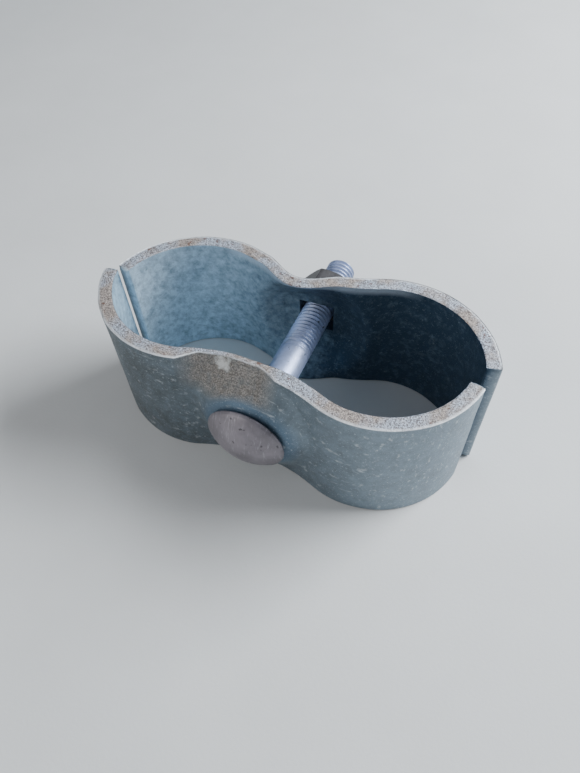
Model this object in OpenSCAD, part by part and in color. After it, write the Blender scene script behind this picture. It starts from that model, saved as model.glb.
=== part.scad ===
// Two-piece clamp that ties two parallel tubes together: two formed steel straps,
// one carriage bolt through square holes and one hex nut.
// Millimetres. X is the long way, Y is the bolt axis (nut side +Y), Z is up.
// The origin is on the floor, under the middle of the whole clamp.

/* [Strap] */
// Width of the strap, which is the height of the clamp
strap_w = 45; // [40:1:55]
// Thickness of the strap with its zinc
strap_t = 4.2; // [3:0.1:4.8]
// Radius of the tube that a lobe was formed for
tube_r = 25.4; // [22:0.1:28]
// Arc of the lobes, degrees: all but the back half's left one
long_arc = 100; // [90:1:101]
// Arc of the back half's left lobe, which stops short of the front half's end
short_arc = 95.8; // [85:0.1:95.8]
// Radius of the saddle between the lobes, at mid thickness
saddle_r = 58; // [50:1:70]
// Half of the saddle's arc, degrees
saddle_arc = 20; // [16:1:24]
// From the bolt's middle to the saddle's rim, at mid thickness
half_gap = 18.6; // [17:0.1:24]
// How far the lobes sit off the bolt hole, to the left on the front half
lobe_shift = 0.5; // [0.3:0.1:1.5]
// How far the back half sits askew on the bolt, degrees (0 is square)
skew = 3.5; // [0:0.5:3.5]

/* [Bolt seat] */
// Height of the domed seat over the saddle's rim
seat_rise = 6.9; // [5:0.1:8]
// Radius of the flat on top of the seat
seat_flat_r = 10; // [9:0.5:11]
// Side of the square hole
hole_side = 11.2; // [10.9:0.1:12]

/* [Bolt] */
// Thread size, major diameter
bolt_d = 10; // [9:0.1:10.2]
// Length under the head
bolt_len = 75; // [70:1:90]
// Length of the thread
thread_len = 42; // [30:1:50]
// Diameter of the head
head_d = 24.2; // [20:0.1:25]
// Height of the head
head_h = 5.4; // [4:0.1:7]
// Side of the square neck
neck_side = 10.4; // [10:0.1:10.4]
// Length of the square neck
neck_len = 5.4; // [4:0.1:7]

/* [Nut] */
// Across the flats
nut_flats = 17; // [15:0.5:18]
// Height of the nut
nut_h = 8; // [6:0.1:9]
// How the nut is turned at rest, degrees
nut_turn = 12; // [0:1:60]

/* [Hidden] */
$fn = 96;
// radii at mid thickness
lobe_r = tube_r + strap_t / 2;
// middle of the right lobe, from the saddle's middle
lobe_x = (saddle_r + lobe_r) * sin(saddle_arc);
lobe_y = (saddle_r + lobe_r) * cos(saddle_arc) - saddle_r - half_gap;
// middle of the saddle's arc
saddle_y = -half_gap - saddle_r;
// where the lobes end, as angles from the long way, about their own middles
long_end = long_arc - 90 - saddle_arc;
short_end = short_arc - 90 - saddle_arc;
// well past the strap in every direction
reach = 3 * lobe_r;
// the seat is a shell between two balls about one point, its top cut flat
seat_y = half_gap + strap_t / 2 + seat_rise;
edge_drop = half_gap + strap_t / 2;
rim_reach = strap_w / 2;
ball_y = (pow(rim_reach, 2) - pow(seat_flat_r, 2) + pow(edge_drop, 2) - pow(seat_y, 2))
  / (2 * (seat_y - edge_drop));
ball_r = sqrt(pow(seat_flat_r, 2) + pow(seat_y + ball_y, 2));
ball_span = 2 * ball_r;
// bolt
axis_z = strap_w / 2;
head_gap = 0.1;
bolt_y = -seat_y - head_gap;
head_rim_h = 0.9;
dome_h = head_h - head_rim_h;
dome_r = (pow(head_d / 2, 2) + pow(dome_h, 2)) / (2 * dome_h);
neck_taper = 1;
// the taper's cone starts outside the neck's corners and ends outside its flats
cone_wide = 1.5 * neck_side;
cone_narrow = 1.1 * neck_side;
shank_d = bolt_d - 0.2;
thread_d = bolt_d - 0.05;
end_chamfer = 1.4;
thread_start = bolt_len - thread_len;
// nut
bore_d = bolt_d + 0.1;
nut_corners = nut_flats / cos(30);
nut_round_r = nut_corners / 2 + 0.2;
nut_chamfer = (nut_round_r - nut_flats / 2) * tan(30);
nut_lean = nut_corners / 2 * tan(skew);
nut_gap = 0.1;
nut_y = seat_y + nut_lean + nut_gap;
// the whole clamp's box: outer corners of the two long ends, and the bolt from head to tip
outer_r = lobe_r + strap_t / 2;
left_x = -(lobe_shift + lobe_x + outer_r * cos(long_end));
left_y = lobe_y + outer_r * sin(long_end);
right_x = -left_x * cos(skew) + (seat_y + left_y) * sin(skew);
mid_x = (left_x + right_x) / 2;
mid_y = bolt_y + (bolt_len - head_h) / 2;
zinc = [0.62, 0.66, 0.68];
zinc_dark = [0.52, 0.56, 0.60];
bolt_grey = [0.66, 0.68, 0.76];
nut_grey = [0.36, 0.33, 0.32];

// moves a piece drawn about the bolt's middle to the clamp's own origin
module placed() {
  translate([-mid_x, -mid_y, 0])
    children();
}

// everything inside the strap's surface that lies d outside its mid thickness, in plan
module inside(d) {
  difference() {
    union() {
      for (side = [-1, 1])
        translate([side * lobe_x, lobe_y])
          circle(r = lobe_r + d);
      polygon([[-lobe_x, lobe_y], [0, saddle_y], [lobe_x, lobe_y]]);
    }
    translate([0, saddle_y])
      circle(r = saddle_r - d);
  }
}

// the part of the plan that a half covers: under its lobes' middles and short of its ends;
// right_end is the angle where its right lobe stops
module kept_plan(right_end) {
  polygon([
    [-lobe_x - reach * cos(long_end), lobe_y + reach * sin(long_end)],
    [-lobe_x, lobe_y],
    [lobe_x, lobe_y],
    [lobe_x + reach * cos(right_end), lobe_y + reach * sin(right_end)],
    [reach, -reach],
    [-reach, -reach]
  ]);
}

// the bent strap before the seat is pressed
module strap(right_end) {
  translate([-lobe_shift, 0, 0])
    linear_extrude(height = strap_w)
      intersection() {
        difference() {
          inside(strap_t / 2);
          inside(-strap_t / 2);
        }
        kept_plan(right_end);
      }
}

// ball of radius r about the seat's centre, kept on the inner side of the plane y = -top
module seat_ball(r, top) {
  intersection() {
    translate([0, ball_y, axis_z])
      sphere(r = r);
    translate([-ball_span, -top, -ball_span])
      cube([2 * ball_span, 2 * ball_span, 2 * ball_span + strap_w]);
  }
}

// outer side of the seat, up to the middle of the strap's thickness
module seat_outer() {
  intersection() {
    seat_ball(ball_r, seat_y);
    translate([-lobe_shift, saddle_y, 0])
      cylinder(r = saddle_r, h = strap_w, $fn = 180);
  }
}

// one half of the clamp, as it lies in front
module strap_half(right_end) {
  difference() {
    union() {
      strap(right_end);
      seat_outer();
    }
    seat_ball(ball_r - strap_t, seat_y - strap_t);
    translate([-hole_side / 2, -seat_y - strap_t, axis_z - hole_side / 2])
      cube([hole_side, 3 * strap_t, hole_side]);
  }
}

module front_half() {
  color(zinc)
    placed()
      strap_half(long_end);
}

// turned half round, and a little askew about the bolt
module back_half() {
  color(zinc_dark)
    placed()
      translate([0, seat_y, 0])
        rotate([0, 0, 180 + skew])
          translate([0, seat_y, 0])
            strap_half(short_end);
}

// low dome on a thin rim, drawn about Z with its flat underside at z = 0
module bolt_head() {
  rotate_extrude()
    intersection() {
      square([head_d / 2, head_h]);
      translate([0, head_h - dome_r])
        circle(r = dome_r, $fn = 360);
    }
}

// square neck with its far corners eased
module bolt_neck() {
  intersection() {
    translate([-neck_side / 2, -neck_side / 2, 0])
      cube([neck_side, neck_side, neck_len]);
    union() {
      cylinder(d = cone_wide, h = neck_len - neck_taper);
      translate([0, 0, neck_len - neck_taper])
        cylinder(d1 = cone_wide, d2 = cone_narrow, h = neck_taper);
    }
  }
}

// the head points to -Y
module carriage_bolt() {
  color(bolt_grey)
    placed()
      translate([0, bolt_y, axis_z])
        rotate([-90, 0, 0]) {
          mirror([0, 0, 1])
            bolt_head();
          bolt_neck();
          rotate_extrude()
            polygon([
              [0, 0],
              [shank_d / 2, 0],
              [shank_d / 2, thread_start],
              [thread_d / 2, thread_start],
              [thread_d / 2, bolt_len - end_chamfer],
              [thread_d / 2 - end_chamfer, bolt_len],
              [0, bolt_len]
            ]);
        }
}

// hexagon with its corners turned off at both ends, and a plain bore
module hex_nut() {
  color(nut_grey)
    placed()
      translate([0, nut_y, axis_z])
        rotate([-90, 0, 0])
          difference() {
            intersection() {
              rotate([0, 0, nut_turn])
                cylinder(d = nut_corners, h = nut_h, $fn = 6);
              rotate_extrude()
                polygon([
                  [0, 0],
                  [nut_flats / 2, 0],
                  [nut_round_r, nut_chamfer],
                  [nut_round_r, nut_h - nut_chamfer],
                  [nut_flats / 2, nut_h],
                  [0, nut_h]
                ]);
            }
            translate([0, 0, -1])
              cylinder(d = bore_d, h = nut_h + 2);
          }
}

front_half();
back_half();
carriage_bolt();
hex_nut();
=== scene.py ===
import math

import bmesh
import bpy
from mathutils import Matrix, Vector


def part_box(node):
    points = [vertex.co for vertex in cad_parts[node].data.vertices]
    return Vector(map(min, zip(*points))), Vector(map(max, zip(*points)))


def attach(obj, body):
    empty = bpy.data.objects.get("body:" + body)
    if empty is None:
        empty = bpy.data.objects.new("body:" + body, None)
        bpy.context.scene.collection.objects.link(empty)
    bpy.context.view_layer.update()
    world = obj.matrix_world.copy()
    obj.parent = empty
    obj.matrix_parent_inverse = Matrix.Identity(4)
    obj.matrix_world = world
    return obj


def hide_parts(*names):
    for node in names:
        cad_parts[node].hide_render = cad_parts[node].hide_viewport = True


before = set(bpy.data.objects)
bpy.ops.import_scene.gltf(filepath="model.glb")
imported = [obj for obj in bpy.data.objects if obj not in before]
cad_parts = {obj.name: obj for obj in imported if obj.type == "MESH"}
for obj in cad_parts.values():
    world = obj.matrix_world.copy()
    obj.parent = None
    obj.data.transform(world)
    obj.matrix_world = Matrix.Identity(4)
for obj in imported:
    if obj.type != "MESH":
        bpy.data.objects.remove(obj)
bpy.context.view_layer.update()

# ---------------------------------------------------------------------------
# Floor, light and camera. The clamp stands on a plain pale floor under one
# large soft light from the right and behind, with a weak fill in front.

MM = 0.001

floor_mesh = bpy.data.meshes.new("floor")
floor_half = 3.0
floor_mesh.from_pydata(
    [
        (-floor_half, -floor_half, 0),
        (floor_half, -floor_half, 0),
        (floor_half, floor_half, 0),
        (-floor_half, floor_half, 0),
    ],
    [],
    [(0, 1, 2, 3)],
)
floor = bpy.data.objects.new("floor", floor_mesh)
bpy.context.scene.collection.objects.link(floor)


class Wire:
    """A value in a node tree. Sums and products on it add the Math nodes."""

    def __init__(self, bench, socket):
        self.bench = bench
        self.socket = socket

    def math(self, operation, *values):
        inputs = dict(enumerate(values))
        return self.bench.node("ShaderNodeMath", {"operation": operation}, inputs)

    def __add__(self, other):
        return self.math("ADD", self, other)

    def __radd__(self, other):
        return self.math("ADD", other, self)

    def __sub__(self, other):
        return self.math("SUBTRACT", self, other)

    def __rsub__(self, other):
        return self.math("SUBTRACT", other, self)

    def __mul__(self, other):
        return self.math("MULTIPLY", self, other)

    def __rmul__(self, other):
        return self.math("MULTIPLY", other, self)

    def __truediv__(self, other):
        return self.math("DIVIDE", self, other)

    def __abs__(self):
        return self.math("ABSOLUTE", self)

    def __lt__(self, other):
        return self.math("LESS_THAN", self, other)

    def least(self, other):
        return self.math("MINIMUM", self, other)

    def most(self, other):
        return self.math("MAXIMUM", self, other)

    def within(self, low, high):
        return self.most(low).least(high)

    def root(self):
        return self.math("SQRT", self)

    def sign(self):
        return self.math("SIGN", self)

    def sine(self):
        return self.math("SINE", self)

    def cosine(self):
        return self.math("COSINE", self)

    def fraction(self):
        return self.math("FRACT", self)

    def soft_least(self, other, softness):
        return self.math("SMOOTH_MIN", self, other, softness)

    def soft_most(self, other, softness):
        return self.math("SMOOTH_MAX", self, other, softness)

    def out(self, name):
        return Wire(self.bench, self.socket.node.outputs[name])


class Bench:
    """A node tree being built."""

    def __init__(self, tree):
        self.tree = tree

    def node(self, kind, settings=None, inputs=None):
        made = self.tree.nodes.new(kind)
        for name, value in (settings or {}).items():
            setattr(made, name, value)
        for name, value in (inputs or {}).items():
            if isinstance(value, Wire):
                self.tree.links.new(value.socket, made.inputs[name])
            else:
                made.inputs[name].default_value = value
        live = [s for s in made.outputs if s.enabled]
        return Wire(self, live[0]) if live else None

    def blend(self, share, below, above):
        """Colour below, going over to colour above as share goes from 0 to 1."""
        low, high = [c if isinstance(c, Wire) else (*c, 1) for c in (below, above)]
        # the sockets 6 and 7 of a Mix node are its two colours
        return self.node("ShaderNodeMix", {"data_type": "RGBA"}, {0: share, 6: low, 7: high})

    def split(self, place):
        """The x of a place. Its y and z are on the same node."""
        return self.node("ShaderNodeSeparateXYZ", {}, {"Vector": place})

    def noise(self, place, scale, detail=4, rough=0.6):
        return self.node(
            "ShaderNodeTexNoise",
            {"noise_dimensions": "3D"},
            {"Vector": place, "Scale": scale, "Detail": detail, "Roughness": rough},
        )

    def ramp(self, value, low, high):
        """0 below low, 1 above high, straight between."""
        return ((value - low) / (high - low)).within(0, 1)


def new_finish(name):
    """A material with its bench, and the place on the piece in millimetres."""
    made = bpy.data.materials.new(name)
    made.use_nodes = True
    bench = Bench(made.node_tree)
    made.node_tree.nodes.clear()
    coords = bench.node("ShaderNodeTexCoord").out("Object")
    place = bench.node(
        "ShaderNodeMapping", {}, {"Vector": coords, "Scale": (1 / MM, 1 / MM, 1 / MM)}
    )
    return made, bench, place


def close_finish(bench, colour, roughness, bump_height, depth_mm, metallic):
    """Joins the colour, roughness and relief to the shader."""
    relief = bench.node(
        "ShaderNodeBump",
        {},
        {"Height": bump_height, "Distance": depth_mm * MM, "Strength": 1.0},
    )
    shader = bench.node(
        "ShaderNodeBsdfPrincipled",
        {},
        {"Base Color": colour, "Roughness": roughness, "Metallic": metallic, "Normal": relief},
    )
    bench.node("ShaderNodeOutputMaterial", {}, {"Surface": shader})


floor_finish, bench, place = new_finish("pale_floor")
cloud = bench.noise(place, 0.02)
grain = bench.noise(place, 0.9)
floor_dark, floor_pale = (0.56, 0.56, 0.55), (0.66, 0.66, 0.65)
floor_colour = bench.blend(cloud, floor_dark, floor_pale)
close_finish(bench, floor_colour, 0.8 + 0.1 * grain, grain, 0.05, 0.0)
floor_mesh.materials.append(floor_finish)


def soft_light(name, place_mm, size_mm, watts, colour):
    """A rectangle of light that points at the middle of the clamp."""
    lamp = bpy.data.lights.new(name, "AREA")
    lamp.shape = "RECTANGLE"
    lamp.size, lamp.size_y = size_mm[0] * MM, size_mm[1] * MM
    lamp.energy = watts
    lamp.color = colour
    made = bpy.data.objects.new(name, lamp)
    made.location = Vector(place_mm) * MM
    aim = (clamp_middle_mm - Vector(place_mm)).normalized()
    made.rotation_euler = aim.to_track_quat("-Z", "Y").to_euler()
    bpy.context.scene.collection.objects.link(made)


clamp_middle_mm = Vector((0, 0, 20))
cool_white, warm_white, sky = (0.88, 0.94, 1.0), (1.0, 0.98, 0.95), (0.66, 0.72, 0.80)
sky_strength = 0.45
soft_light("key", (420, 330, 420), (420, 320), 12.0, cool_white)
soft_light("fill", (-300, -420, 300), (420, 420), 1.2, warm_white)

world = bpy.data.worlds.new("room")
bpy.context.scene.world = world
world.use_nodes = True
background = world.node_tree.nodes["Background"]
background.inputs["Color"].default_value = (*sky, 1)
background.inputs["Strength"].default_value = sky_strength

# camera: where it stands, how far it looks down, how far it is turned and rolled
camera_at = Vector((53.8, -114.2, 175.8)) * MM
look_down, look_left, roll = math.radians(53.71), math.radians(26.62), math.radians(-2.92)
lens_mm, film_mm = 39.06, 36.0

flat_ahead = Vector((-math.sin(look_left), math.cos(look_left), 0))
flat_right = Vector((math.cos(look_left), math.sin(look_left), 0))
straight_up = Vector((0, 0, 1))
ahead = math.cos(look_down) * flat_ahead - math.sin(look_down) * straight_up
tipped_up = math.sin(look_down) * flat_ahead + math.cos(look_down) * straight_up
right = math.cos(roll) * flat_right + math.sin(roll) * tipped_up
up = -math.sin(roll) * flat_right + math.cos(roll) * tipped_up
turn = Matrix((right, up, -ahead)).transposed().to_4x4()

camera_data = bpy.data.cameras.new("camera")
camera_data.lens = lens_mm
camera_data.sensor_width = film_mm
camera_data.sensor_fit = "HORIZONTAL"
camera_data.clip_start = 0.005
camera = bpy.data.objects.new("camera", camera_data)
camera.matrix_world = Matrix.Translation(camera_at) @ turn
bpy.context.scene.collection.objects.link(camera)
bpy.context.scene.camera = camera

# ---------------------------------------------------------------------------
# The two halves. Each is one flat steel strap, sheared to width, bent into two
# lobes with a saddle between, dished at the saddle for the bolt and punched
# with a square hole, then dipped in zinc. The back half's lobe at the clamp's
# left end is the shorter one, so that it ends inside the front half's.

STRAP_W, STRAP_T = 45.0, 4.2
LOBE_R = 25.4 + STRAP_T / 2
SADDLE_R, SADDLE_ARC = 58.0, math.radians(20)
HALF_GAP, LOBE_SHIFT = 18.6, 0.5
LONG_ARC, SHORT_ARC = math.radians(100), math.radians(95.8)
SEAT_RISE, SEAT_FLAT_R, HOLE_SIDE = 6.9, 10.0, 11.2
SKEW = math.radians(3.5)
SEAT_Y = HALF_GAP + STRAP_T / 2 + SEAT_RISE
LOBE_X = (SADDLE_R + LOBE_R) * math.sin(SADDLE_ARC)
LOBE_Y = (SADDLE_R + LOBE_R) * math.cos(SADDLE_ARC) - SADDLE_R - HALF_GAP
SADDLE_Y = -HALF_GAP - SADDLE_R
SADDLE_LEN = SADDLE_R * SADDLE_ARC
LONG_LEN = SADDLE_LEN + LOBE_R * LONG_ARC
SHORT_LEN = SADDLE_LEN + LOBE_R * SHORT_ARC
# the dish is part of a ball: its middle and its radius, at mid thickness
EDGE_DROP = HALF_GAP + STRAP_T / 2
RIM_REACH = STRAP_W / 2
DISH_Y = (RIM_REACH**2 - SEAT_FLAT_R**2 + EDGE_DROP**2 - SEAT_Y**2) / (2 * (SEAT_Y - EDGE_DROP))
DISH_R = math.hypot(SEAT_FLAT_R, SEAT_Y + DISH_Y) - STRAP_T / 2
# the bolt's axis is where its node's box has its middle
bolt_low, bolt_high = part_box("carriage_bolt")
bolt_x = (bolt_low.x + bolt_high.x) / 2 / MM
bolt_z = (bolt_low.z + bolt_high.z) / 2 / MM
HEAD_GAP, HEAD_H, BOLT_LEN = 0.1, 5.4, 75.0
# from the bolt's middle, where the strap is drawn, to the frame's origin
middle_y = bolt_low.y / MM + HEAD_H + HEAD_GAP + SEAT_Y
to_frame = Matrix.Translation(Vector((bolt_x, middle_y, 0)) * MM)


def new_tree(name, sizes):
    """A Geometry Nodes tree with one named number input for each size."""
    tree = bpy.data.node_groups.new(name, "GeometryNodeTree")
    tree.interface.new_socket("Geometry", in_out="OUTPUT", socket_type="NodeSocketGeometry")
    for label in sizes:
        tree.interface.new_socket(label, in_out="INPUT", socket_type="NodeSocketFloat")
    tree.interface.new_socket("Finish", in_out="INPUT", socket_type="NodeSocketMaterial")
    bench = Bench(tree)
    entry = bench.node("NodeGroupInput")
    return tree, bench, {label: entry.out(label) for label in [*sizes, "Finish"]}


def end_tree(bench, shape, finish):
    real = bench.node("GeometryNodeRealizeInstances", {}, {"Geometry": shape})
    done = bench.node("GeometryNodeSetMaterial", {}, {"Geometry": real, "Material": finish})
    bench.node("NodeGroupOutput", {}, {"Geometry": done})


def grow(name, tree, values):
    """Runs the tree on an empty mesh and keeps the plain mesh it gives."""
    seed_piece = bpy.data.objects.new(name + "_seed", bpy.data.meshes.new(name + "_seed"))
    bpy.context.scene.collection.objects.link(seed_piece)
    grower = seed_piece.modifiers.new("grow", "NODES")
    grower.node_group = tree
    for item in tree.interface.items_tree:
        if item.in_out == "INPUT" and item.name in values:
            grower[item.identifier] = values[item.name]
    bpy.context.view_layer.update()
    ready = seed_piece.evaluated_get(bpy.context.evaluated_depsgraph_get())
    mesh = bpy.data.meshes.new_from_object(ready)
    mesh.name = name
    bpy.data.objects.remove(seed_piece)
    piece = bpy.data.objects.new(name, mesh)
    bpy.context.scene.collection.objects.link(piece)
    return piece


def smooth(piece, sharp_degrees):
    """Merges doubles, turns the faces outwards and shades them, with creases kept sharp."""
    shape = bmesh.new()
    shape.from_mesh(piece.data)
    bmesh.ops.remove_doubles(shape, verts=shape.verts, dist=0.002 * MM)
    bmesh.ops.recalc_face_normals(shape, faces=shape.faces)
    bmesh.ops.triangulate(shape, faces=[f for f in shape.faces if len(f.verts) > 4])
    shape.to_mesh(piece.data)
    shape.free()
    piece.data.shade_smooth()
    piece.data.set_sharp_from_angle(angle=math.radians(sharp_degrees))


def vector(bench, x, y, z):
    return bench.node("ShaderNodeCombineXYZ", {}, {"X": x, "Y": y, "Z": z})


strap_sizes = {
    "Width": STRAP_W,
    "Thickness": STRAP_T,
    "Lobe Radius": LOBE_R,
    "Saddle Radius": SADDLE_R,
    "Long Length": LONG_LEN,
    "Right Length": LONG_LEN,
    "Seat Depth": SEAT_Y - STRAP_T / 2,
    "Hole Side": HOLE_SIDE,
    "Edge Rounding": 0.55,
    "Corner Rounding": 1.6,
    "End Rounding": 0.8,
    "Edge Roughness": 0.5,
    "Rim Pinch": 0.0,
    "Edge Drawn Thin": 0.0,
    "Variation": 0.0,
}
strap_tree, bench, size = new_tree("formed_strap", strap_sizes)
long_len, right_len = size["Long Length"], size["Right Length"]
length = long_len + right_len
middle = (right_len - long_len) / 2
# a fine box, its rows closer together towards its edges
ROWS_ALONG, ROWS_THROUGH, ROWS_UP = 230, 11, 84
box = bench.node(
    "GeometryNodeMeshCube",
    {},
    {
        "Size": vector(bench, length, size["Thickness"], size["Width"]),
        "Vertices X": ROWS_ALONG,
        "Vertices Y": ROWS_THROUGH,
        "Vertices Z": ROWS_UP,
    },
)
CROWDING = 0.72
# how far left of the bolt the edge is drawn thin, half the length of that, and its run-out
DRAWN_AT, DRAWN_HALF, DRAWN_RUN_OUT = 7.0, 12.0, 3.0
# where the rim is pinched in, along the strap from the bolt, and how far that spreads
PINCH_AT, PINCH_SPREAD = 4.0, 13.0
# from the strap's middle line: where the pinch starts, and where it is full
PINCH_FROM, PINCH_FULL = 9.0, 22.0
# how deep the shears tore the edges, up and sideways, and the press's slow wave
TORN_DEPTH, TORN_SIDEWAYS, PRESS_WAVE = 1.3, 0.25, 0.5
# sets the two halves' tears apart in the noise
NOISE_STEP = 13.7
# how softly the dish runs into its flat seat, and into the saddle
FLAT_SOFTNESS, DISH_SOFTNESS = 1.0, 3.0
# keeps a point in no margin from a division by nothing
TINY = 0.0001


def crowd(value, half):
    """Moves evenly spaced rows towards both edges, which stay where they are."""
    share = abs(value) / half
    return value * (1 + CROWDING * (1 - share))


spot = bench.split(bench.node("GeometryNodeInputPosition"))
along = crowd(spot, length / 2) + middle
up_box = crowd(spot.out("Z"), size["Width"] / 2)
box = bench.node(
    "GeometryNodeSetPosition",
    {},
    {"Geometry": box, "Position": vector(bench, along, spot.out("Y"), up_box)},
)
punch = bench.node(
    "GeometryNodeMeshCube",
    {},
    {"Size": vector(bench, size["Hole Side"], 4 * size["Thickness"], size["Hole Side"])},
)
punch = bench.node(
    "GeometryNodeTransform",
    {},
    {"Geometry": punch, "Translation": (LOBE_SHIFT, 0, 0)},
)
punched = bench.node(
    "GeometryNodeMeshBoolean", {"operation": "DIFFERENCE"}, {"Mesh 1": box, "Mesh 2": punch}
)
spot = bench.split(bench.node("GeometryNodeInputPosition"))
box_u, box_d, box_v = spot - middle, spot.out("Y"), spot.out("Z")


def past(value, half, radius):
    """How far a point is inside the rounded margin of width radius, with its sign."""
    return value.sign() * (abs(value) - (half - radius)).most(0)


def rounded(*parts):
    """Rounds the edge where margins meet. A part is an offset, its half size and a radius."""
    overs = [past(*part) for part in parts]
    squares, widest = overs[0] * overs[0], abs(overs[0])
    for over in overs[1:]:
        squares = squares + over * over
        widest = widest.most(abs(over))
    pull = widest / squares.root().most(TINY) - 1
    return [part[0] + over * pull for part, over in zip(parts, overs)]


half_length, half_thick, half_wide = length / 2, size["Thickness"] / 2, size["Width"] / 2
corner, end, edge = size["Corner Rounding"], size["End Rounding"], size["Edge Rounding"]
# round the strap's corners, then its ends, then all of its edges
box_u, box_v = rounded((box_u, half_length, corner), (box_v, half_wide, corner))
box_u, box_d = rounded((box_u, half_length, end), (box_d, half_thick, end))
from_rim = abs(box_v) - half_wide
sheared = bench.ramp(from_rim, -0.42, -0.12)
bead = bench.ramp(0 - box_d - half_thick, -0.75, -0.25) * bench.ramp(from_rim, -0.7, -0.3)
box_u, box_d, box_v = rounded(
    (box_u, half_length, edge), (box_d, half_thick, edge), (box_v, half_wide, edge)
)

# torn, uneven sheared edges, and a slow wave from the press
chart = vector(bench, box_u, box_d + NOISE_STEP * size["Variation"], box_v)
torn = bench.noise(chart, 0.75, 5, 0.65)
wave = bench.noise(chart, 0.05, 1, 0.5)
box_v = box_v - box_v.sign() * sheared * size["Edge Roughness"] * torn * TORN_DEPTH
sideways = sheared * box_d.sign() * TORN_SIDEWAYS * (torn - 0.5)
box_d = box_d + PRESS_WAVE * (wave - 0.5) + sideways

# 0 on the strap's outer face, 1 on its inner one
inward = bench.ramp(box_d, -1.4, 1.4)
# beside the bolt the edge is drawn thin on its outer side
s = box_u + middle
outerness = bench.ramp(0 - box_d, -2.1, 2.1)
over_head = 1 - bench.ramp(
    abs(s + DRAWN_AT), DRAWN_HALF - DRAWN_RUN_OUT, DRAWN_HALF + DRAWN_RUN_OUT
)
near_top = bench.ramp(box_v, 12.0, 22.0)
box_d = box_d + outerness * over_head * near_top * size["Edge Drawn Thin"]

# bend: saddle in the middle, a lobe each side
side, far = s.sign(), abs(s)
in_saddle = far < SADDLE_LEN
saddle_turn = s / size["Saddle Radius"]
saddle_r = size["Saddle Radius"] + box_d
lobe_turn = (far - SADDLE_LEN) / size["Lobe Radius"] - (math.pi / 2 + SADDLE_ARC)
lobe_r = size["Lobe Radius"] - box_d

saddle_x = saddle_r * saddle_turn.sine()
saddle_y = saddle_r * saddle_turn.cosine() + SADDLE_Y
lobe_x = side * (LOBE_X + lobe_r * lobe_turn.cosine())
lobe_y = lobe_r * lobe_turn.sine() + LOBE_Y
bent_x = lobe_x + in_saddle * (saddle_x - lobe_x) - LOBE_SHIFT
bent_y = lobe_y + in_saddle * (saddle_y - lobe_y)

# dish: the saddle is pressed outwards into part of a ball with a flat seat
ball = (DISH_R * DISH_R - bent_x * bent_x - box_v * box_v).most(0).root() - DISH_Y
mid_depth = 0 - (bent_y - box_d)
flat_top = ball.soft_least(size["Seat Depth"], FLAT_SOFTNESS)
pressed = mid_depth.soft_most(flat_top, DISH_SOFTNESS)
bent_y = bent_y - (pressed - mid_depth) * (far < 2 * SADDLE_LEN)
# the press pulls the rim in beside the bolt: a soft bump, highest at the edge
off = ((s - PINCH_AT) / PINCH_SPREAD).within(-1, 1)
bump = (1 - off * off) * (1 - off * off)
bent_y = bent_y + bump * bench.ramp(abs(box_v), PINCH_FROM, PINCH_FULL) * size["Rim Pinch"]
final = vector(bench, bent_x * MM, bent_y * MM, (box_v + size["Width"] / 2) * MM)

marked = punched
for label, value in (("sheared", sheared), ("bead", bead), ("inner", inward), ("along", s)):
    marked = bench.node(
        "GeometryNodeStoreNamedAttribute",
        {"data_type": "FLOAT", "domain": "POINT"},
        {"Geometry": marked, "Name": label, "Value": value},
    )
shaped = bench.node("GeometryNodeSetPosition", {}, {"Geometry": marked, "Position": final})
end_tree(bench, shaped, size["Finish"])


PALE_SPECK, DARK_SPECK, SCRATCH = (0.72, 0.78, 0.84), (0.10, 0.12, 0.14), (0.72, 0.77, 0.80)
# the dark blue round the bolt's head is painted shade, the bright zinc at the top of the slope is a
# painted glint, and the rolled zinc is partly a painted highlight
ROLLED_ZINC_HIGHLIGHT, HEAD_SHADE_BLUE, GLINT_ZINC = (0.58, 0.66, 0.74), (0.10, 0.17, 0.25), (0.80, 0.81, 0.80)
SAND_DARK, SAND_PALE = (0.17, 0.145, 0.125), (0.47, 0.43, 0.385)
# the rim's darkest colour is painted shade in the grain of the torn edge
RIM_GREY, RIM_BROWN, RIM_GRAIN_SHADE = (0.52, 0.58, 0.67), (0.46, 0.375, 0.305), (0.12, 0.10, 0.095)
RUST_PIT, ZINC_BEAD = (0.13, 0.06, 0.04), (0.86, 0.88, 0.90)
# the painted glint on the front half, where it sits: along the strap from the bolt, and up
GLINT_AT, GLINT_UP = -9.0, 42.6


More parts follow.
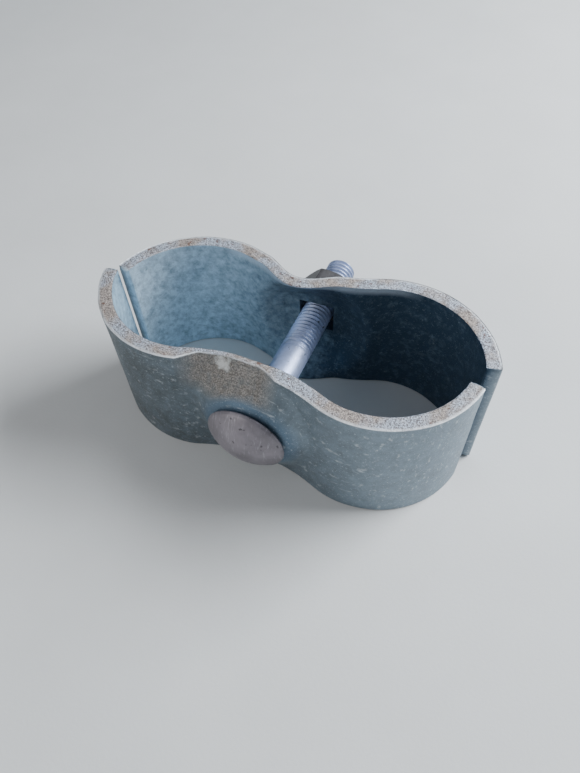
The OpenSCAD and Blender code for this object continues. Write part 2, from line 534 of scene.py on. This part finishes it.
def galvanised(name, outer, inner_face, sandy):
    """Hot-dipped zinc: clouded faces, pale specks and scratches, and torn grainy edges, with painted
    light, painted shade and a painted glint.

    outer and inner_face are each a dark and a light colour: painted shade and painted light,
    mixed with random mottling. sandy is 1 where the slope above the bolt's seat is rough, else 0.
    """
    made, bench, place = new_finish(name)
    clouds = bench.noise(place, 0.07, 5)
    patches = bench.noise(place, 0.38, 7, 0.72)
    fine = bench.noise(place, 1.5, 5, 0.75)
    grit = bench.noise(place, 2.3, 3, 0.8)
    spot = bench.split(place)
    marks = {}
    for mark in ("sheared", "bead", "inner", "along"):
        marks[mark] = bench.node("ShaderNodeAttribute", {"attribute_name": mark}).out("Fac")
    rim, inner, along = marks["sheared"], marks["inner"], marks["along"]
    # scratches: noise drawn out along a slant
    slant = bench.node(
        "ShaderNodeMapping",
        {},
        {"Vector": place, "Rotation": (0.3, 0.5, 0.7), "Scale": (0.12, 1.6, 0.5)},
    )
    scratch = bench.ramp(bench.noise(slant, 0.9, 3), 0.60, 0.70)
    mottle = bench.ramp(clouds * 0.4 + patches * 0.6, 0.38, 0.62)
    painted_light_rightwards = bench.ramp(spot, -45, 45)
    # outside: painted light, greyer and darker on the left, bluer and lighter on the right where the
    # key light falls, mixed with random mottling
    outside = bench.blend(mottle * 0.5 + painted_light_rightwards * 0.5, *outer)
    # inside: painted light and shade, bright on the left lobe whose face turns to the light, near
    # navy on the right lobe that faces away, with random darker patches
    painted_light_leftwards = 1 - bench.ramp(spot, -42, 8)
    shade = (painted_light_leftwards * 0.8 + (patches - 0.5) * 1.4 * (0.45 + painted_light_leftwards)).within(0, 1)
    lining = bench.blend(shade, *inner_face)
    face = bench.blend(inner, outside, lining)
    # bright zinc where the edge is rolled over, inside beside the bolt: partly the rolled zinc,
    # partly a painted highlight where the rolled edge faces up to the light
    rolled = bench.ramp(spot.out("Z"), 41.6, 43.4) * inner * (1 - bench.ramp(abs(along), 24, 34))
    face = bench.blend(rolled * 0.75, face, ROLLED_ZINC_HIGHLIGHT)
    # painted shade: a dark blue ring round the bolt's seat, where the head shades the face
    off_x, off_z = spot - bolt_x, spot.out("Z") - bolt_z
    from_bolt = (off_x * off_x + off_z * off_z).root()
    head_shade_ring = 1 - bench.ramp(from_bolt, 13.2, 16.5)
    face = bench.blend(head_shade_ring * (1 - inner) * 0.7, face, HEAD_SHADE_BLUE)
    face = bench.blend(bench.ramp(fine, 0.585, 0.68) * (0.5 - 0.2 * inner), face, PALE_SPECK)
    face = bench.blend(bench.ramp(fine, 0.42, 0.34) * 0.35, face, DARK_SPECK)
    face = bench.blend(scratch * 0.35 * (1 - 0.8 * inner), face, SCRATCH)
    # the rough slope between the rim and the bolt's seat
    above = bench.ramp(spot.out("Z"), 30.5, 36.0)
    beside = 1 - bench.ramp(abs(along + DRAWN_AT), 10.0, 16.0)
    clear_of_seat = bench.ramp(from_bolt, 13.5, 15.5)
    broken = 0.5 + 0.5 * bench.ramp(patches, 0.36, 0.54)
    slope = above * beside * (1 - inner) * clear_of_seat * broken * sandy
    sand = bench.blend(bench.ramp(grit, 0.44, 0.58), SAND_DARK, SAND_PALE)
    face = bench.blend(slope * 0.85, face, sand)
    # a painted glint of bright zinc at the top of that slope
    glint_x, glint_z = along - GLINT_AT, spot.out("Z") - GLINT_UP
    glint_off = (glint_x * glint_x + glint_z * glint_z).root() + 9 * (patches - 0.5)
    painted_glint = (1 - bench.ramp(glint_off, 1.0, 2.4)) * (1 - inner) * sandy
    face = bench.blend(painted_glint * 0.8, face, GLINT_ZINC)
    brown = bench.ramp(bench.noise(place, 0.10, 3), 0.42, 0.60) * 0.85
    rim_pale = bench.blend(brown, RIM_GREY, RIM_BROWN)
    # painted shade: the torn rim's grain is darkened in its hollows
    rim_colour = bench.blend(bench.ramp(grit, 0.40, 0.60), RIM_GRAIN_SHADE, rim_pale)
    colour = bench.blend(rim, face, rim_colour)
    pit = bench.ramp(bench.noise(place, 0.55, 2, 0.5), 0.66, 0.69) * rim
    colour = bench.blend(pit * 0.8, colour, RUST_PIT)
    bead_shows = marks["bead"] * bench.ramp(clouds, 0.35, 0.5)
    colour = bench.blend(bead_shows * 0.8, colour, ZINC_BEAD)
    rough = 0.38 + 0.18 * patches + 0.12 * rim + 0.1 * slope
    relief = 0.25 * patches + fine * 0.35 + rim.most(slope) * grit * 1.2
    close_finish(bench, colour, rough, relief, 0.30, 0.55)
    return made


front_finish = galvanised(
    "zinc_front",
    outer=((0.075, 0.088, 0.092), (0.22, 0.285, 0.34)),
    inner_face=((0.06, 0.10, 0.15), (0.50, 0.68, 0.80)),
    sandy=1.0,
)
back_finish = galvanised(
    "zinc_back",
    outer=((0.12, 0.145, 0.165), (0.26, 0.32, 0.37)),
    inner_face=((0.030, 0.062, 0.100), (0.60, 0.76, 0.88)),
    sandy=0.0,
)
turned_round = (
    Matrix.Translation((0, SEAT_Y * MM, 0))
    @ Matrix.Rotation(math.pi + SKEW, 4, "Z")
    @ Matrix.Translation((0, SEAT_Y * MM, 0))
)
front_own = {"Edge Drawn Thin": 2.7, "End Rounding": 1.4, "Finish": front_finish}
back_own = {
    "Right Length": SHORT_LEN,
    "Rim Pinch": 4.1,
    "Edge Roughness": 0.75,
    "Variation": 1.0,
    "Finish": back_finish,
}
front_half = grow("front_strap_formed", strap_tree, {**strap_sizes, **front_own})
back_half = grow("back_strap_formed", strap_tree, {**strap_sizes, **back_own})
back_half.data.transform(turned_round)
for half in (front_half, back_half):
    half.data.transform(to_frame)
    smooth(half, 38)
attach(front_half, "front")
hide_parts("front_half")
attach(back_half, "back")
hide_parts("back_half")

# ---------------------------------------------------------------------------
# The carriage bolt. A forged domed head and square neck on a plain shank, with
# a rolled thread to the tip. The neck sits in the front half's square hole, so
# the bolt can't turn while the nut is tightened.

SHANK_R, THREAD_R, PITCH = 4.9, 4.95, 1.5
NECK_SIDE, NECK_LEN = 10.4, 5.4
HEAD_R, HEAD_RIM = 12.1, 0.9
THREAD_LEN, TIP_CHAMFER = 42.0, 1.4
THREAD_START = BOLT_LEN - THREAD_LEN
head_face_y = bolt_low.y / MM + HEAD_H
bolt_to_frame = Matrix.Translation(Vector((bolt_x, head_face_y, bolt_z)) * MM)
AROUND = 96


def turned(name, rings, close_ring):
    """A closed piece about the Y axis, from rings of (y, radius at an angle).

    A radius of None is a pole. close_ring joins the last ring to the first one.
    """
    shape = bmesh.new()
    loops = []
    for y, radius in rings:
        if radius is None:
            loops.append([shape.verts.new((0, y * MM, 0))])
            continue
        loop = []
        for step in range(AROUND):
            angle = 2 * math.pi * step / AROUND
            r = radius(angle)
            corner = Vector((r * math.sin(angle), y, r * math.cos(angle))) * MM
            loop.append(shape.verts.new(corner))
        loops.append(loop)
    pairs = list(zip(loops, loops[1:]))
    if close_ring:
        pairs.append((loops[-1], loops[0]))
    for first, second in pairs:
        for step in range(AROUND):
            ahead_step = (step + 1) % AROUND
            if len(first) == 1:
                shape.faces.new((first[0], second[step], second[ahead_step]))
            elif len(second) == 1:
                shape.faces.new((first[step], first[ahead_step], second[0]))
            else:
                shape.faces.new((first[step], first[ahead_step], second[ahead_step], second[step]))
    mesh = bpy.data.meshes.new(name)
    shape.to_mesh(mesh)
    shape.free()
    piece = bpy.data.objects.new(name, mesh)
    bpy.context.scene.collection.objects.link(piece)
    return piece


def round_bar(radius):
    return lambda angle: radius


def square_bar(side, corner_r):
    """A square bar's outline with rounded corners, as a radius at an angle."""

    def radius(angle):
        c, s = abs(math.cos(angle)), abs(math.sin(angle))
        flat = side / 2 / max(c, s)
        core = side / 2 - corner_r
        # where the ray meets the corner's circle
        mid = core * (c + s)
        inside = mid * mid - (2 * core * core - corner_r * corner_r)
        on_corner = min(c, s) * flat > core
        return mid + math.sqrt(max(inside, 0)) if on_corner else flat

    return radius


def uneven(radius, amount, turns):
    """A forged edge: not quite round."""
    return lambda angle: radius + amount * (
        math.sin(turns * angle) + 0.6 * math.sin((turns + 3) * angle + 1.7)
    )


head_rings = [(-HEAD_H, None)]
dome_h = HEAD_H - HEAD_RIM
dome_r = (HEAD_R**2 + dome_h**2) / (2 * dome_h)
DOME_ROWS, DOME_INSET = 22, 0.25
# how far the forged head is from round, and how many times round it
FORGED_WAVE, FORGED_TURNS = 0.035, 3
for row in range(1, DOME_ROWS + 1):
    share = row / DOME_ROWS
    r = (HEAD_R - DOME_INSET) * share
    y = -HEAD_H + dome_r - math.sqrt(dome_r**2 - r**2)
    head_rings.append((y, uneven(r, FORGED_WAVE * share, FORGED_TURNS)))
RIM_STEPS, RIM_ROUND, RIM_LIFT = 6, 0.42, 0.06
for step in range(1, RIM_STEPS + 1):
    angle = math.pi * step / RIM_STEPS
    y = -RIM_ROUND * (1 + math.cos(angle)) - RIM_LIFT
    r = HEAD_R - RIM_ROUND + RIM_ROUND * math.sin(angle)
    head_rings.append((y, uneven(r, FORGED_WAVE, FORGED_TURNS)))
head_rings.append((0, round_bar(HEAD_R - 1.0)))
head_rings.append((0, square_bar(NECK_SIDE + 0.3, 1.0)))
head_rings.append((0.4, square_bar(NECK_SIDE, 0.9)))
head_rings.append((NECK_LEN - 1.2, square_bar(NECK_SIDE, 0.9)))
head_rings.append((NECK_LEN - 0.5, square_bar(NECK_SIDE - 0.6, 1.6)))
head_rings.append((NECK_LEN, round_bar(SHANK_R + 0.1)))
SHANK_ROWS, SHANK_WAVE, SHANK_TURNS = 24, 0.015, 2
shank_from, shank_to = NECK_LEN + 0.3, THREAD_START + 0.4
for row in range(SHANK_ROWS + 1):
    y = shank_from + (shank_to - shank_from) * row / SHANK_ROWS
    head_rings.append((y, uneven(SHANK_R - 0.04, SHANK_WAVE, SHANK_TURNS)))
head_rings.append((shank_to, None))
bolt_body = turned("bolt_head_and_shank", head_rings, False)


WORN_ZINC, PIN_SPECK = (0.66, 0.66, 0.70), (0.05, 0.045, 0.05)


def bolt_zinc(name, low, high, head_tone, dark_specks, metallic, worn):
    """Thin zinc on a forged piece: soft pale scratches and dark pin specks."""
    made, bench, place = new_finish(name)
    clouds = bench.noise(place, 0.16, 5)
    fine = bench.noise(place, 1.9, 4, 0.7)
    pin = bench.noise(place, 0.75, 2, 0.4)
    drawn = bench.node(
        "ShaderNodeMapping",
        {},
        {"Vector": place, "Rotation": (0.2, 0.9, 0.4), "Scale": (2.2, 0.4, 0.3)},
    )
    scratch = bench.ramp(bench.noise(drawn, 0.9, 3), 0.58, 0.72)
    face = bench.blend(bench.ramp(clouds, 0.35, 0.65), low, high)
    spot = bench.split(place)
    on_head = 1 - bench.ramp(spot.out("Y"), head_face_y - 0.2, head_face_y + 0.2)
    head_dark = [0.72 * tone for tone in head_tone]
    head_face = bench.blend(bench.ramp(clouds, 0.38, 0.62), head_dark, head_tone)
    face = bench.blend(on_head, face, head_face)
    face = bench.blend(scratch * worn, face, WORN_ZINC)
    face = bench.blend(bench.ramp(pin, 0.70, 0.73) * dark_specks, face, PIN_SPECK)
    rough = 0.34 + 0.2 * clouds
    close_finish(bench, face, rough, 0.4 * fine + 0.5 * clouds, 0.10, metallic)
    return made


bolt_finish = bolt_zinc(
    "zinc_bolt",
    low=(0.27, 0.31, 0.44),
    high=(0.42, 0.50, 0.74),
    head_tone=(0.27, 0.245, 0.27),
    dark_specks=0.7,
    metallic=0.5,
    worn=0.3,
)
bolt_body.data.materials.append(bolt_finish)

thread_sizes = {
    "Length": THREAD_LEN,
    "Crest Radius": THREAD_R,
    "Depth": 0.72,
    "Pitch": PITCH,
    "Tip Chamfer": TIP_CHAMFER,
}
thread_tree, bench, size = new_tree("rolled_thread", thread_sizes)
ROWS_PER_PITCH = 10
thread_rows = int(THREAD_LEN / PITCH * ROWS_PER_PITCH) + 1
sheet = bench.node(
    "GeometryNodeMeshGrid",
    {},
    {"Size X": 1.0, "Size Y": 1.0, "Vertices X": AROUND // 2 + 1, "Vertices Y": thread_rows},
)
spot = bench.split(bench.node("GeometryNodeInputPosition"))
round_share, down_share = spot + 0.5, spot.out("Y") + 0.5
reach_y = down_share * size["Length"]
FULL_TURN = 2 * math.pi
# whole turns added so that the share stays above nothing; they change no shape
SPARE_TURNS = 8
ridge = (reach_y / size["Pitch"] - round_share + SPARE_TURNS).fraction()
groove = (ridge * FULL_TURN).cosine() * -0.5 + 0.5
run_in = bench.ramp(reach_y, 0.0, 3.0)
tip = (reach_y - (size["Length"] - size["Tip Chamfer"])).most(0)
radius = size["Crest Radius"] - groove * size["Depth"] * run_in - tip
swing = round_share * FULL_TURN
x = radius * swing.sine() * MM
z = radius * swing.cosine() * MM
wound = bench.node(
    "GeometryNodeSetPosition", {}, {"Geometry": sheet, "Position": vector(bench, x, reach_y * MM, z)}
)
joined = bench.node("GeometryNodeMergeByDistance", {}, {"Geometry": wound, "Distance": 0.001 * MM})
end_tree(bench, joined, size["Finish"])
thread = grow("bolt_thread", thread_tree, {**thread_sizes, "Finish": bolt_finish})
thread.data.transform(Matrix.Translation((0, THREAD_START * MM, 0)))
for bolt_piece in (bolt_body, thread):
    shape = bmesh.new()
    shape.from_mesh(bolt_piece.data)
    open_edges = [e for e in shape.edges if e.is_boundary]
    bmesh.ops.holes_fill(shape, edges=open_edges, sides=0)
    shape.to_mesh(bolt_piece.data)
    shape.free()
    bolt_piece.data.transform(bolt_to_frame)
    smooth(bolt_piece, 50)
    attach(bolt_piece, "front")
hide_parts("carriage_bolt")

# ---------------------------------------------------------------------------
# The hex nut. Cold formed, its corners turned off at both faces, darker than
# the rest: painted shade, for the shadow it sits in behind the back half.
# It turns on the bolt's thread.

NUT_FLATS, NUT_H, NUT_TURN, BORE_R = 17.0, 8.0, math.radians(12), 5.05
nut_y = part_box("hex_nut")[0].y / MM
nut_corner_r = NUT_FLATS / 2 / math.cos(math.pi / 6)
# the turned corners run from just inside the flats to just outside the corners
turned_from, turned_to = NUT_FLATS / 2 - 0.05, nut_corner_r + 0.15
face_r, bore_mouth_r, bore_chamfer, face_skin = NUT_FLATS / 2 - 0.3, BORE_R + 0.6, 0.6, 0.03
chamfer_h = (turned_to - turned_from) * math.tan(math.pi / 6)


def hex_bar(limit):
    """The nut's outline, held inside a circle of radius limit."""

    def radius(angle):
        # the nut's turn is about +Y; the first flat faces 30 degrees off its first corner
        across = (angle - math.pi / 2 - NUT_TURN) % (math.pi / 3) - math.pi / 6
        return min(NUT_FLATS / 2 / math.cos(across), limit)

    return radius


CHAMFER_ROWS = 5
near_rows = []
for row in range(CHAMFER_ROWS + 1):
    share = row / CHAMFER_ROWS
    limit = turned_from + share * (turned_to - turned_from)
    near_rows.append((face_skin + chamfer_h * share, hex_bar(limit)))
near_face = [
    (bore_chamfer, round_bar(BORE_R)),
    (0.0, round_bar(bore_mouth_r)),
    (0.0, round_bar(face_r)),
    *near_rows,
]
# the far face is the near one over again
far_face = [(NUT_H - y, radius) for y, radius in reversed(near_face)]
nut_rings = near_face + far_face
nut = turned("nut_formed", nut_rings, True)
# painted shade: near black colours for the nut, which sits in shadow behind the back half
shaded_nut_finish = bolt_zinc(
    "zinc_nut",
    low=(0.016, 0.014, 0.015),
    high=(0.050, 0.046, 0.048),
    head_tone=(0.05, 0.04, 0.04),
    dark_specks=0.5,
    metallic=0.2,
    worn=0.06,
)
nut.data.materials.append(shaded_nut_finish)
nut.data.transform(Matrix.Translation(Vector((bolt_x, nut_y, bolt_z)) * MM))
smooth(nut, 24)
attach(nut, "nut")
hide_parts("hex_nut")
